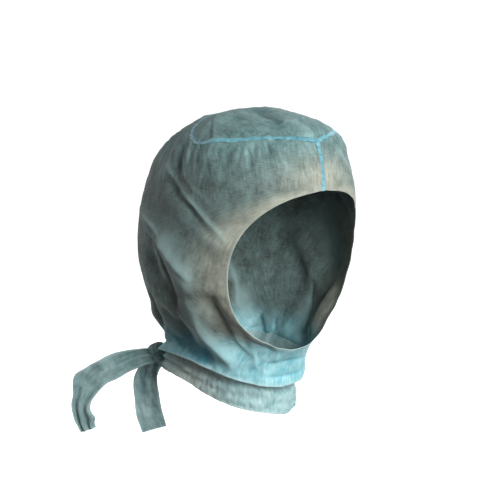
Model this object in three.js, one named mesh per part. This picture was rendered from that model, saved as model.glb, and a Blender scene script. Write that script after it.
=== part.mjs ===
// Hooded hairnet of thin nonwoven cloth: a crown patch, two side panels that meet at a forehead
// seam and frame the face opening, and a neck band knotted behind the nape with two tie ends.
// Millimetres, +Z up. The face opening looks along -Y and the hood's right side is at -X.
// The origin is the inside of the crown, where the worn hood is held up.

import * as THREE from 'three';

// Driving dimensions
const WALL = 1.5;               // cloth, as a wall that can be built
const GAP = 0.3;                // clearance between pieces that are sewn together
const SEAM_GAP = 0.7;           // clearance beside a raised seam, which curves between its steps
const SEAM_WIDTH = 4.6;         // welded seam allowance, across the seam
const SEAM_PROUD = 0.9;         // how far a seam stands out of the cloth
const SEAM_INSIDE = 0.3;        // how far it stands in
const CROWN_LIFT = 2;           // outer crown above the origin
const BAND_OVERLAP = 0.7;       // how far the band runs up inside the hood, in hoops
const BAND_TUCK = 4;            // how far the band falls back behind the hood's lower edge
const TIE_WIDTH = 25;           // of the strap when it lies open
const TIE_CREASE = 2.4;         // how far a gathered strap's middle stands out
const TIE_FACE = new THREE.Vector3(-0.64, -0.77, 0);
const KNOT = { down_band: 0.84, across: 11, deep: 8, high: 8, clear: 0.6, turns: 3, press: 0.12 };

// The hood is a stack of hoops. Each has a front, side and back point, the side at half_width.
const HOOP_COLUMNS = ['name', 'front_y', 'front_z', 'half_width', 'side_y', 'side_z', 'back_y', 'back_z'];
const HOOPS = table(HOOP_COLUMNS, [
  ['pole', -26, 0, 0, -26, 0, -26, 0],
  ['crown', -64, -10, 40, -26, -7, 8, 0],
  ['crown_seam', -97, -29, 69, -26, -24, 42, -6],
  ['hair', -105, -54, 84, -14, -52, 86, -28],
  ['brow', -104, -80, 91, -4, -85, 112, -68],
  ['temple', -98, -114, 94, 4, -117, 124, -106],
  ['ear', -90, -152, 92, 10, -149, 120, -143],
  ['cheek', -80, -188, 81, 20, -178, 108, -172],
  ['jaw', -66, -209, 67, 30, -196, 99, -192],
  ['chin', -50, -221, 61, 34, -207, 92, -202],
  ['neck', -35, -238, 57, 32, -216, 93, -208],
  ['collar', -27, -256, 57, 36, -226, 102, -217],
]);
// The lower edge of the neck band, lower and further back because the neck leans forward
const BAND_HEM = table(HOOP_COLUMNS, [['band_hem', -14, -280, 52, 44, -255, 112, -231]])[0];

// The crown seam follows its hoop, with a point at the forehead. It dips at its two rear corners
// and runs from them over the top, between two angles.
const SEAM_POINT = { drop: 0.28, width: 18 };
const SEAM_CORNER = { drop: 0.13, at: 88, width: 18 };
const SEAM_REAR = { rise: 1.28, from: 94, to: 156 };
// The face opening, from the brow hoop to the chin hoop
const OPENING = { half_angle: 65, roundness: 0.85, taper: 0.37 };
// The cloth is drawn out towards the knot behind the nape
const PULL = { reach: 16, at: 150, width: 30, from: 'jaw' };

// Folds run from one point of the hood to another. Angles are degrees from the face opening
// round to the right, hoops are rows of the table above, and heights are outwards.
const FOLD_COLUMNS = ['name', 'from_angle', 'from_hoop', 'to_angle', 'to_hoop', 'width', 'height', 'sides'];
const FOLDS = table(FOLD_COLUMNS, [
  ['ear', 90, 5.0, 80, 5.9, 16, 6, 'both'],
  ['behind_ear', 104, 5.5, 84, 7.0, 11, -4.5, 'both'],
  ['jaw_ridge', 86, 6.8, 58, 9.4, 10, 4, 'both'],
  ['jaw_hollow', 66, 6.6, 46, 8.8, 10, -5, 'right'],
  ['jaw_hollow_left', 64, 7.0, 50, 8.6, 11, -3.5, 'left'],
  ['nape_hollow', 102, 7.2, 90, 8.6, 10, -4, 'right'],
  ['knot_hollow', 98, 9.4, 78, 10.2, 10, -4, 'both'],
  ['nape_ridge', 134, 7.4, 124, 8.6, 12, 5, 'both'],
  ['nape_groove', 160, 7.2, 152, 9.2, 11, -4, 'both'],
  ['pull_front', 106, 3.1, 62, 4.9, 11, 2.5, 'right'],
  ['pull_back', 124, 4.1, 96, 4.8, 11, 2.5, 'right'],
  ['pleat', 102, 2.6, 90, 3.4, 11, -3, 'both'],
  ['back_slack', 165, 3.2, 150, 5.2, 18, -3, 'left'],
  ['crown_crease', 36, 0.6, 24, 1.8, 11, -3, 'right'],
  ['crown_ridge', 20, 1.3, 5, 2.1, 10, 2, 'right'],
  ['crown_pleat', 101, 1.0, 75, 2.0, 11, 2.5, 'right'],
  ['crown_far', 60, 1.0, 75, 2.0, 12, -2.5, 'left'],
]);

// Tie ends: the middle of the strap from the knot to its cut end, with the angle of its face
const STRAP_COLUMNS = ['x', 'y', 'z', 'turn', 'spread'];
const LONG_TIE = table(STRAP_COLUMNS, [
  [-45, 118.2, -225.4, 6, 0.60],
  [-54, 121, -225, 2, 0.68],
  [-70, 130, -229, -6, 0.80],
  [-88, 143, -237, -10, 0.86],
  [-99, 152, -250, -4, 0.80],
  [-103, 156, -265, 8, 0.72],
  [-101, 156, -280, 14, 0.72],
  [-98, 155, -290, 12, 0.66],
]);
const SHORT_TIE = table(STRAP_COLUMNS, [
  [-35.7, 120.2, -231.7, 4, 0.56],
  [-38, 128, -240, 0, 0.78],
  [-38, 135, -250, -4, 0.92],
  [-36, 139, -265, -8, 0.96],
  [-34, 140, -283, -4, 1],
  [-32, 138, -300, 2, 1],
]);

// Mesh steps, along and across each piece
const STEPS = {
  seam_rows: 6, opening_rows: 22, throat_rows: 4, panel_columns: 30,
  crown_rings: 5, ring_sectors: 60, front_seam: 8,
  band_rows: 3, strap: 18, knot_rings: 8, knot_sectors: 12,
};
// Down the back, where the side panels' rows change from seam to opening and from opening to
// throat, in hoops below the crown seam and the chin, and how soon they leave the seam's line
const PANEL_ROWS = { below_seam: 0.95, below_chin: 0.5, seam_fade: 3 };

const CLOTH = { colour: 0x8fc3ca, roughness: 0.85 };
const WELD = { colour: 0x6fbfd6, roughness: 0.6 };

function table(columns, rows) {
  return rows.map((row) => Object.fromEntries(columns.map((column, i) => [column, row[i]])));
}

const radians = THREE.MathUtils.degToRad;
const hoopIndex = (name) => HOOPS.findIndex((hoop) => hoop.name === name);
const CROWN_SEAM = hoopIndex('crown_seam');
const BROW = hoopIndex('brow');
const CHIN = hoopIndex('chin');
const COLLAR = hoopIndex('collar');
const bell = (distance, width) => Math.exp(-((distance / width) ** 2));

// Past the pole the heights mirror and the widths run on, which rounds the crown
const beyondPole = (column, pole, next) => (column.endsWith('_z') ? next : 2 * pole - next);

// A hoop's measure at a height between two rows, on a smooth curve through them
function between(column, v) {
  const row = Math.min(Math.floor(v), HOOPS.length - 2);
  const t = v - row;
  const at = (k) => HOOPS[k][column];
  const b = at(row);
  const c = at(row + 1);
  const a = row > 0 ? at(row - 1) : beyondPole(column, b, c);
  const d = row + 2 < HOOPS.length ? at(row + 2) : 2 * c - b;
  return 0.5 * (2 * b + (c - a) * t + (2 * a - 5 * b + 4 * c - d) * t ** 2
    + (3 * b - a - 3 * c + d) * t ** 3);
}

// The point of a hoop at an angle from the face opening
function hoopPoint(hoop, angle) {
  const c = Math.cos(angle);
  const along = (front, side, back) => side + ((front - back) / 2) * c
    + ((front + back) / 2 - side) * c ** 2;
  return new THREE.Vector3(
    -hoop.half_width * Math.sin(angle),
    along(hoop.front_y, hoop.side_y, hoop.back_y),
    along(hoop.front_z, hoop.side_z, hoop.back_z) + CROWN_LIFT,
  );
}

function smooth(angle, v) {
  const hoop = Object.fromEntries(HOOP_COLUMNS.slice(1).map((column) => [column, between(column, v)]));
  return hoopPoint(hoop, angle);
}

const STEP = 0.01;
function slopes(angle, v) {
  const low = Math.max(v - STEP, 0);
  const high = Math.min(v + STEP, COLLAR);
  return {
    round: smooth(angle + STEP, v).sub(smooth(angle - STEP, v)).divideScalar(2 * STEP),
    down: smooth(angle, high).sub(smooth(angle, low)).divideScalar(high - low),
  };
}

function outward(angle, v) {
  if (v < STEP) return new THREE.Vector3(0, 0, 1);
  const { round, down } = slopes(angle, v);
  return down.cross(round).normalize().negate();
}

// Folds as lines on the smooth hood, so that a fold keeps its width in millimetres
const FOLD_POINTS = 10;
function foldLine(fold) {
  const points = [];
  for (let i = 0; i <= FOLD_POINTS; i += 1) {
    const s = i / FOLD_POINTS;
    const angle = radians(THREE.MathUtils.lerp(fold.from_angle, fold.to_angle, s));
    points.push(smooth(angle, THREE.MathUtils.lerp(fold.from_hoop, fold.to_hoop, s)));
  }
  return { ...fold, points };
}

const foldLines = FOLDS.map(foldLine);
function foldHeight(point, side) {
  const wanted = side > 0 ? 'right' : 'left';
  const nearest = new THREE.Vector3();
  const piece = new THREE.Line3();
  return foldLines.reduce((sum, fold) => {
    if (fold.sides !== 'both' && fold.sides !== wanted) return sum;
    let distance = Infinity;
    for (let i = 0; i < FOLD_POINTS; i += 1) {
      piece.set(fold.points[i], fold.points[i + 1]).closestPointToPoint(point, true, nearest);
      distance = Math.min(distance, nearest.distanceTo(point));
    }
    return sum + fold.height * bell(distance, fold.width);
  }, 0);
}

const PULL_START = hoopIndex(PULL.from);
function pulled(angle, v, side, normal) {
  const turn = side > 0 ? angle : 2 * Math.PI - angle;
  const reach = PULL.reach * THREE.MathUtils.smoothstep(v, PULL_START, COLLAR);
  const level = new THREE.Vector3(normal.x, normal.y, 0).normalize();
  return level.multiplyScalar(reach * bell(turn - radians(PULL.at), radians(PULL.width)));
}

// A point of the hood's outer face, folds and all, and the way out from it. The angle runs from
// 0 at the face opening to 180 degrees at the back, and side is 1 on the right, -1 on the left.
function skin(angle, v, side) {
  const point = smooth(angle, v);
  const normal = outward(angle, v);
  point.addScaledVector(normal, foldHeight(point, side)).add(pulled(angle, v, side, normal));
  point.x *= side;
  normal.x *= side;
  return { point, normal };
}

// The crown seam's height in hoops at an angle, and how many hoops a distance off it makes
function seamHeight(angle) {
  const { rise, from, to } = SEAM_REAR;
  return CROWN_SEAM + SEAM_POINT.drop * bell(angle, radians(SEAM_POINT.width))
    + SEAM_CORNER.drop * bell(angle - radians(SEAM_CORNER.at), radians(SEAM_CORNER.width))
    - rise * THREE.MathUtils.smoothstep(angle, radians(from), radians(to));
}

function seamDirection(angle) {
  const step = Math.min(STEP, Math.PI - angle + STEP);
  const ahead = smooth(angle + step, seamHeight(angle + step));
  return ahead.sub(smooth(angle - step, seamHeight(angle - step))).normalize();
}

function seamMargin(angle, distance) {
  const { down } = slopes(angle, seamHeight(angle));
  const slant = down.clone().normalize().cross(seamDirection(angle)).length();
  return distance / (down.length() * slant);
}

const SEAM_CLEAR = SEAM_WIDTH / 2 + SEAM_GAP;
const sideEdge = (angle) => seamHeight(angle) + seamMargin(angle, SEAM_CLEAR);
const crownEdge = (angle) => seamHeight(angle) - seamMargin(angle, SEAM_CLEAR);
const midlineAngle = (v, distance) => distance / slopes(0, v).round.length();
const backAngle = (v) => Math.PI - GAP / 2 / slopes(Math.PI, v).round.length();

// The face opening's edge, from 0 at the forehead to 1 at the throat
function openingPoint(t) {
  const wave = Math.max(Math.sin(Math.PI * t), 0) ** OPENING.roundness;
  const clear = THREE.MathUtils.lerp(midlineAngle(BROW, SEAM_CLEAR), midlineAngle(CHIN, GAP / 2), t);
  return {
    angle: clear + radians(OPENING.half_angle) * wave * (1 - OPENING.taper * t),
    v: BROW + ((CHIN - BROW) * (1 - Math.cos(Math.PI * t))) / 2,
  };
}

// Points at even distances along a curve of the hood's face
const FINE = 200;
function evenly(curve, count) {
  const lengths = [0];
  let last = curve(0);
  for (let i = 1; i <= FINE; i += 1) {
    const next = curve(i / FINE);
    lengths.push(lengths[i - 1] + smooth(next.angle, next.v).distanceTo(smooth(last.angle, last.v)));
    last = next;
  }
  const points = [];
  let k = 0;
  for (let i = 0; i <= count; i += 1) {
    const wanted = (lengths[FINE] * i) / count;
    while (k < FINE - 1 && lengths[k + 1] < wanted) k += 1;
    points.push(curve((k + (wanted - lengths[k]) / (lengths[k + 1] - lengths[k])) / FINE));
  }
  return points;
}

function stretches(list) {
  return list.flatMap(([curve, count], i) => evenly(curve, count).slice(i ? 1 : 0));
}

// A closed wall from a grid of outer points and a matching grid of inner points. A pole closes
// the first row to one point, and wrapped columns join the last column to the first.
function wall(outer, inner, { wrapped = false, pole = false, mirrored = false } = {}) {
  const positions = [];
  const index = [];
  const columns = outer[0].length;
  const number = (grid) => grid.map((row, i) => row.map((point, j) => {
    if (pole && i === 0 && j > 0) return null;
    positions.push(point.x, point.y, point.z);
    return positions.length / 3 - 1;
  }));
  const faces = [number(outer), number(inner)];
  const vertex = (face, i, j) => faces[face][i][pole && i === 0 ? 0 : j % columns];
  const triangle = (a, b, c) => {
    if (a !== b && b !== c && c !== a) index.push(...(mirrored ? [a, c, b] : [a, b, c]));
  };
  const quad = (a, b, c, d) => {
    triangle(a, b, c);
    triangle(a, c, d);
  };
  const rows = outer.length - 1;
  const last = wrapped ? columns : columns - 1;
  for (let i = 0; i < rows; i += 1) {
    for (let j = 0; j < last; j += 1) {
      quad(vertex(0, i, j), vertex(0, i, j + 1), vertex(0, i + 1, j + 1), vertex(0, i + 1, j));
      quad(vertex(1, i, j), vertex(1, i + 1, j), vertex(1, i + 1, j + 1), vertex(1, i, j + 1));
    }
  }
  for (let j = 0; j < last; j += 1) {
    if (!pole) quad(vertex(0, 0, j), vertex(1, 0, j), vertex(1, 0, j + 1), vertex(0, 0, j + 1));
    quad(vertex(0, rows, j + 1), vertex(1, rows, j + 1), vertex(1, rows, j), vertex(0, rows, j));
  }
  for (let i = 0; i < rows && !wrapped; i += 1) {
    quad(vertex(0, i, 0), vertex(0, i + 1, 0), vertex(1, i + 1, 0), vertex(1, i, 0));
    quad(vertex(0, i + 1, last), vertex(0, i, last), vertex(1, i, last), vertex(1, i + 1, last));
  }
  return solid(positions, index);
}

function solid(positions, index) {
  const geometry = new THREE.BufferGeometry();
  geometry.setAttribute('position', new THREE.Float32BufferAttribute(positions, 3));
  geometry.setIndex(index);
  geometry.computeVertexNormals();
  return geometry;
}

// A solid lofted through closed sections of equal count, closed by flat ends unless it is a ring
function loft(sections, ring = false) {
  const positions = sections.flat().flatMap((point) => point.toArray());
  const size = sections[0].length;
  const index = [];
  const count = ring ? sections.length : sections.length - 1;
  for (let i = 0; i < count; i += 1) {
    const a = i * size;
    const b = ((i + 1) % sections.length) * size;
    for (let j = 0; j < size; j += 1) {
      const k = (j + 1) % size;
      index.push(a + j, a + k, b + k, a + j, b + k, b + j);
    }
  }
  const end = (sections.length - 1) * size;
  for (let j = 1; j < size - 1 && !ring; j += 1) {
    index.push(0, j + 1, j, end, end + j, end + j + 1);
  }
  return solid(positions, index);
}

function mesh(name, geometry, { colour, roughness }) {
  const material = new THREE.MeshStandardMaterial({ color: colour, roughness, metalness: 0 });
  const made = new THREE.Mesh(geometry, material);
  made.name = name;
  return made;
}

function grid(rows, columns, place) {
  return Array.from({ length: rows }, (_, i) => Array.from({ length: columns }, (__, j) => place(i, j)));
}

const outerPoint = ({ point }) => point;
const innerPoint = ({ point, normal }) => point.clone().addScaledVector(normal, -WALL);

// The angle from the face opening and the side, for a turn right round the hood
function halfTurn(turn) {
  return turn <= Math.PI ? { angle: turn, side: 1 } : { angle: 2 * Math.PI - turn, side: -1 };
}

function crownPanel() {
  const { crown_rings: rings, ring_sectors: sectors } = STEPS;
  const points = grid(rings + 1, sectors, (i, j) => {
    const { angle, side } = halfTurn((2 * Math.PI * j) / sectors);
    return skin(angle, (crownEdge(angle) * i) / rings, side);
  });
  return wall(points.map((row) => row.map(outerPoint)), points.map((row) => row.map(innerPoint)),
    { wrapped: true, pole: true });
}

// Rows run from the front edge, which is the forehead seam, the face opening and the throat,
// round to the back. They leave the front edge steeply, so that no row runs along the opening.
function sidePanel(side) {
  const columns = STEPS.panel_columns;
  const front = stretches([
    [(t) => {
      const v = THREE.MathUtils.lerp(sideEdge(0), BROW, t);
      return { angle: midlineAngle(v, SEAM_CLEAR), v };
    }, STEPS.seam_rows],
    [openingPoint, STEPS.opening_rows],
    [(t) => {
      const v = THREE.MathUtils.lerp(CHIN, COLLAR, t);
      return { angle: midlineAngle(v, GAP / 2), v };
    }, STEPS.throat_rows],
  ]);
  const back = (from, to) => (t) => {
    const v = THREE.MathUtils.lerp(from, to, t);
    return { angle: backAngle(v), v };
  };
  const behindSeam = CROWN_SEAM + PANEL_ROWS.below_seam;
  const behindThroat = CHIN + PANEL_ROWS.below_chin;
  const rear = stretches([
    [back(sideEdge(Math.PI), behindSeam), STEPS.seam_rows],
    [back(behindSeam, behindThroat), STEPS.opening_rows],
    [back(behindThroat, COLLAR), STEPS.throat_rows],
  ]);
  const rowHeight = (i, s) => THREE.MathUtils.lerp(front[i].v, rear[i].v, 1 - (1 - s) ** 2);
  const rows = front.length;
  const points = grid(rows, columns + 1, (i, j) => {
    const s = j / columns;
    const angle = THREE.MathUtils.lerp(front[i].angle, rear[i].angle, s);
    const fade = (1 - i / (rows - 1)) ** PANEL_ROWS.seam_fade;
    const v = rowHeight(i, s) + (sideEdge(angle) - rowHeight(0, s)) * fade;
    return skin(angle, Math.min(v, COLLAR), side);
  });
  return wall(points.map((row) => row.map(outerPoint)), points.map((row) => row.map(innerPoint)),
    { mirrored: side < 0 });
}

// A seam's flat section at a point of the cloth, across the seam and through the cloth
function seamSection(point, normal, across) {
  const half = SEAM_WIDTH / 2;
  const inside = -WALL - SEAM_INSIDE;
  return [[-half, SEAM_PROUD], [half, SEAM_PROUD], [half, inside], [-half, inside]]
    .map(([a, n]) => point.clone().addScaledVector(across, a).addScaledVector(normal, n));
}

function crownSeam() {
  const sections = [];
  for (let i = 0; i < STEPS.ring_sectors; i += 1) {
    const { angle, side } = halfTurn((2 * Math.PI * i) / STEPS.ring_sectors);
    const along = seamDirection(angle);
    along.x *= side;
    along.multiplyScalar(side);
    const { point, normal } = skin(angle, seamHeight(angle), side);
    sections.push(seamSection(point, normal, normal.clone().cross(along).normalize()));
  }
  return loft(sections.reverse(), true);
}

function frontSeam() {
  const sections = [];
  for (let i = 0; i <= STEPS.front_seam; i += 1) {
    const v = THREE.MathUtils.lerp(sideEdge(0), BROW, i / STEPS.front_seam);
    const { point, normal } = skin(0, v, 1);
    sections.push(seamSection(point, normal, new THREE.Vector3(1, 0, 0)));
  }
  return loft(sections.reverse());
}

// The band starts just inside the hood's wall, falls back behind its edge and ends at its hem.
// A point of it lies t of the way down, and its way out is level.
function bandPoint(angle, side, t) {
  const { point, normal } = skin(angle, COLLAR - BAND_OVERLAP, side);
  point.addScaledVector(normal, -WALL - GAP);
  const hem = hoopPoint(BAND_HEM, angle);
  const out = new THREE.Vector3(hem.x, hem.y - BAND_HEM.side_y, 0).normalize();
  hem.add(pulled(angle, COLLAR, side, out));
  hem.x *= side;
  out.x *= side;
  point.lerp(hem, t).addScaledVector(out, -BAND_TUCK * Math.sin(Math.PI * t));
  return { point, normal: out };
}

function neckBand() {
  const { band_rows: rows, ring_sectors: columns } = STEPS;
  const points = grid(rows + 1, columns, (i, j) => {
    const { angle, side } = halfTurn((2 * Math.PI * j) / columns);
    return bandPoint(angle, side, i / rows);
  });
  return wall(points.map((row) => row.map(outerPoint)), points.map((row) => row.map(innerPoint)),
    { wrapped: true });
}

// The back of the band where the knot lies against it, and the way out from the slope there
function knotSeat() {
  const place = (turn, down) => bandPoint(radians(PULL.at) + turn, 1, KNOT.down_band + down).point;
  const round = place(STEP, 0).sub(place(-STEP, 0));
  const down = place(0, STEP).sub(place(0, -STEP));
  return { point: place(0, 0), normal: down.cross(round).normalize().negate() };
}

// A knot of flat strap: a rounded lump with its turns pressed into it
function tieKnot() {
  const knot = new THREE.SphereGeometry(1, STEPS.knot_sectors, STEPS.knot_rings);
  const position = knot.getAttribute('position');
  const point = new THREE.Vector3();
  for (let i = 0; i < position.count; i += 1) {
    point.fromBufferAttribute(position, i);
    const turn = KNOT.turns * Math.atan2(point.z, point.x) + point.y;
    const press = 1 - (KNOT.press * (1 - point.y ** 2) * (1 + Math.cos(turn))) / 2;
    position.setXYZ(i, point.x * KNOT.across * press, -point.z * KNOT.deep * press, point.y * KNOT.high);
  }
  const { point: seat, normal } = knotSeat();
  const turned = new THREE.Quaternion().setFromUnitVectors(new THREE.Vector3(0, 1, 0), normal);
  const centre = seat.addScaledVector(normal, KNOT.deep + KNOT.clear);
  return knot.applyQuaternion(turned).translate(centre.x, centre.y, centre.z);
}

// A strap along its stations. Its face looks to the front and right, turned about the strap by
// each station's angle, and spread is how much of the full width lies open there.
function strap(stations) {
  const middles = stations.map(({ x, y, z }) => new THREE.Vector3(x, y, z + CROWN_LIFT));
  const curve = new THREE.CatmullRomCurve3(middles);
  const sections = [];
  for (let i = 0; i <= STEPS.strap; i += 1) {
    const t = i / STEPS.strap;
    const place = t * (stations.length - 1);
    const k = Math.min(Math.floor(place), stations.length - 2);
    const blend = (column) => THREE.MathUtils.lerp(stations[k][column], stations[k + 1][column], place - k);
    const along = curve.getTangent(t);
    const across = along.clone().cross(TIE_FACE).applyAxisAngle(along, radians(blend('turn'))).normalize();
    const face = across.clone().cross(along).normalize();
    const middle = curve.getPoint(t);
    const half = (TIE_WIDTH * blend('spread')) / 2;
    const edge = (a, n) => middle.clone().addScaledVector(across, a * half).addScaledVector(face, n);
    const fold = TIE_CREASE * (1 - blend('spread'));
    sections.push([
      edge(-1, WALL / 2), edge(0, WALL / 2 + fold), edge(1, WALL / 2),
      edge(1, -WALL / 2), edge(0, -WALL / 2 + fold), edge(-1, -WALL / 2),
    ]);
  }
  return loft(sections);
}

const group = new THREE.Group();
group.add(
  mesh('crown_panel', crownPanel(), CLOTH),
  mesh('right_side_panel', sidePanel(1), CLOTH),
  mesh('left_side_panel', sidePanel(-1), CLOTH),
  mesh('crown_seam', crownSeam(), WELD),
  mesh('front_seam', frontSeam(), WELD),
  mesh('neck_band', neckBand(), CLOTH),
  mesh('tie_knot', tieKnot(), CLOTH),
  mesh('tie_long', strap(LONG_TIE), CLOTH),
  mesh('tie_short', strap(SHORT_TIE), CLOTH),
);

export default group;
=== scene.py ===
import math

import bmesh
import bpy
import numpy as np
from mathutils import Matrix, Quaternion, Vector


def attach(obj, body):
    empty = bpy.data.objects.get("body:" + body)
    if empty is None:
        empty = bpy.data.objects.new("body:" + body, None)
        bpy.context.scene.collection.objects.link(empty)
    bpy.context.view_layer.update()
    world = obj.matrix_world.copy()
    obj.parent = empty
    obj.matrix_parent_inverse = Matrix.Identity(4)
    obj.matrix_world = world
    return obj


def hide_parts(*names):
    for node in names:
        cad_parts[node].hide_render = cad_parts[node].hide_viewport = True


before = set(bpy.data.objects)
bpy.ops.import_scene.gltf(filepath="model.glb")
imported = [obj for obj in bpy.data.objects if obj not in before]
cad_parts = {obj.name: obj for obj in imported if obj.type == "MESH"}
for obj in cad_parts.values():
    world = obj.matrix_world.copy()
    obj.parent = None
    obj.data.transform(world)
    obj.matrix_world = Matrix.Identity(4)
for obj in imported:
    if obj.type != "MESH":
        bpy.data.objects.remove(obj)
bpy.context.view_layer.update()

MM = 0.001

# Cut of the hood
CROWN_LIFT = 2.0           # outer crown above the origin
SEAM_WIDTH = 4.6           # welded seam allowance, across the seam
SEAM_PROUD = 0.6           # how far a seam stands out of the cloth
SEAM_SINK = 0.25           # how far a seam's sides sink into the cloth
SEAM_THICKNESS = 0.8
SEAM_TUCK = 1.3            # how near to a seam's middle the cloth runs under it
CLOTH_THICKNESS = 0.4
WALL = 1.5                 # the solid model's wall, which the band lies inside
GAP = 0.3
BAND_OVERLAP = 0.7         # how far the band runs up inside the hood, in hoops
BAND_TUCK = 4.0            # how far the band falls back behind the hood's lower edge
TIE_WIDTH = 25.0
TIE_FACE = np.array((-0.64, -0.77, 0.0))
KNOT = {"down_band": 0.84, "across": 11.0, "deep": 8.0, "high": 8.0, "clear": 0.6, "into_hood": 1.35}

# The hood is a stack of hoops. Each has a front, side and back point, the side at half_width.
HOOP_COLUMNS = ("front_y", "front_z", "half_width", "side_y", "side_z", "back_y", "back_z")
HOOPS = {
    "pole": (-26, 0, 0, -26, 0, -26, 0),
    "crown": (-64, -10, 40, -26, -7, 8, 0),
    "crown_seam": (-97, -29, 69, -26, -24, 42, -6),
    "hair": (-105, -54, 84, -14, -52, 86, -28),
    "brow": (-104, -80, 91, -4, -85, 112, -68),
    "temple": (-98, -114, 94, 4, -117, 124, -106),
    "ear": (-90, -152, 92, 10, -149, 120, -143),
    "cheek": (-80, -188, 81, 20, -178, 108, -172),
    "jaw": (-66, -209, 67, 30, -196, 99, -192),
    "chin": (-50, -221, 61, 34, -207, 92, -202),
    "neck": (-35, -238, 57, 32, -216, 93, -208),
    "collar": (-27, -256, 57, 36, -226, 102, -217),
}
BAND_HEM = (-14, -280, 52, 44, -255, 112, -231)

# The crown seam follows its hoop, with a point at the forehead. It dips at its two rear corners
# and runs from them over the top, between two angles.
SEAM_POINT = {"drop": 0.28, "width": 18}
SEAM_CORNER = {"drop": 0.13, "at": 88, "width": 18}
SEAM_REAR = {"rise": 1.28, "from": 94, "to": 156}
# The face opening, from the brow hoop to the chin hoop. Its upper sides droop below a plain
# arch, which the droop and its reach set.
OPENING = {"half_angle": 65, "roundness": 0.85, "taper": 0.37, "droop": 0.75, "droop_reach": 0.15}
# The cloth is drawn out towards the knot behind the nape
PULL = {"reach": 16.0, "at": 150, "width": 30, "from": "jaw"}

# Broad folds. Angles are degrees from the face opening round to the right, hoops are rows of the
# table above, and heights are outwards.
FOLD_COLUMNS = ("from_angle", "from_hoop", "to_angle", "to_hoop", "width", "height", "sides")
FOLDS = {
    "ear": (90, 5.0, 80, 5.9, 16, 6, "both"),
    "behind_ear": (104, 5.5, 84, 7.0, 11, -4.5, "both"),
    "jaw_ridge": (86, 6.8, 58, 9.4, 10, 4, "both"),
    "jaw_hollow": (66, 6.6, 46, 8.8, 10, -5, "right"),
    "jaw_hollow_left": (64, 7.0, 50, 8.6, 11, -3.5, "left"),
    "nape_hollow": (102, 7.2, 90, 8.6, 10, -4, "right"),
    "knot_hollow": (98, 9.4, 78, 10.2, 10, -4, "both"),
    "nape_ridge": (134, 7.4, 124, 8.6, 12, 5, "both"),
    "nape_groove": (160, 7.2, 152, 9.2, 11, -4, "both"),
    "pull_front": (106, 3.1, 62, 4.9, 11, 2.5, "right"),
    "pull_back": (124, 4.1, 96, 4.8, 11, 2.5, "right"),
    "pleat": (102, 2.6, 90, 3.4, 11, -3, "both"),
    "back_slack": (165, 3.2, 150, 5.2, 18, -3, "left"),
    "crown_crease": (36, 0.6, 24, 1.8, 11, -3, "right"),
    "crown_ridge": (20, 1.3, 5, 2.1, 10, 2, "right"),
    "crown_pleat": (101, 1.0, 75, 2.0, 11, 2.5, "right"),
    "crown_far": (60, 1.0, 75, 2.0, 12, -2.5, "left"),
}

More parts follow.
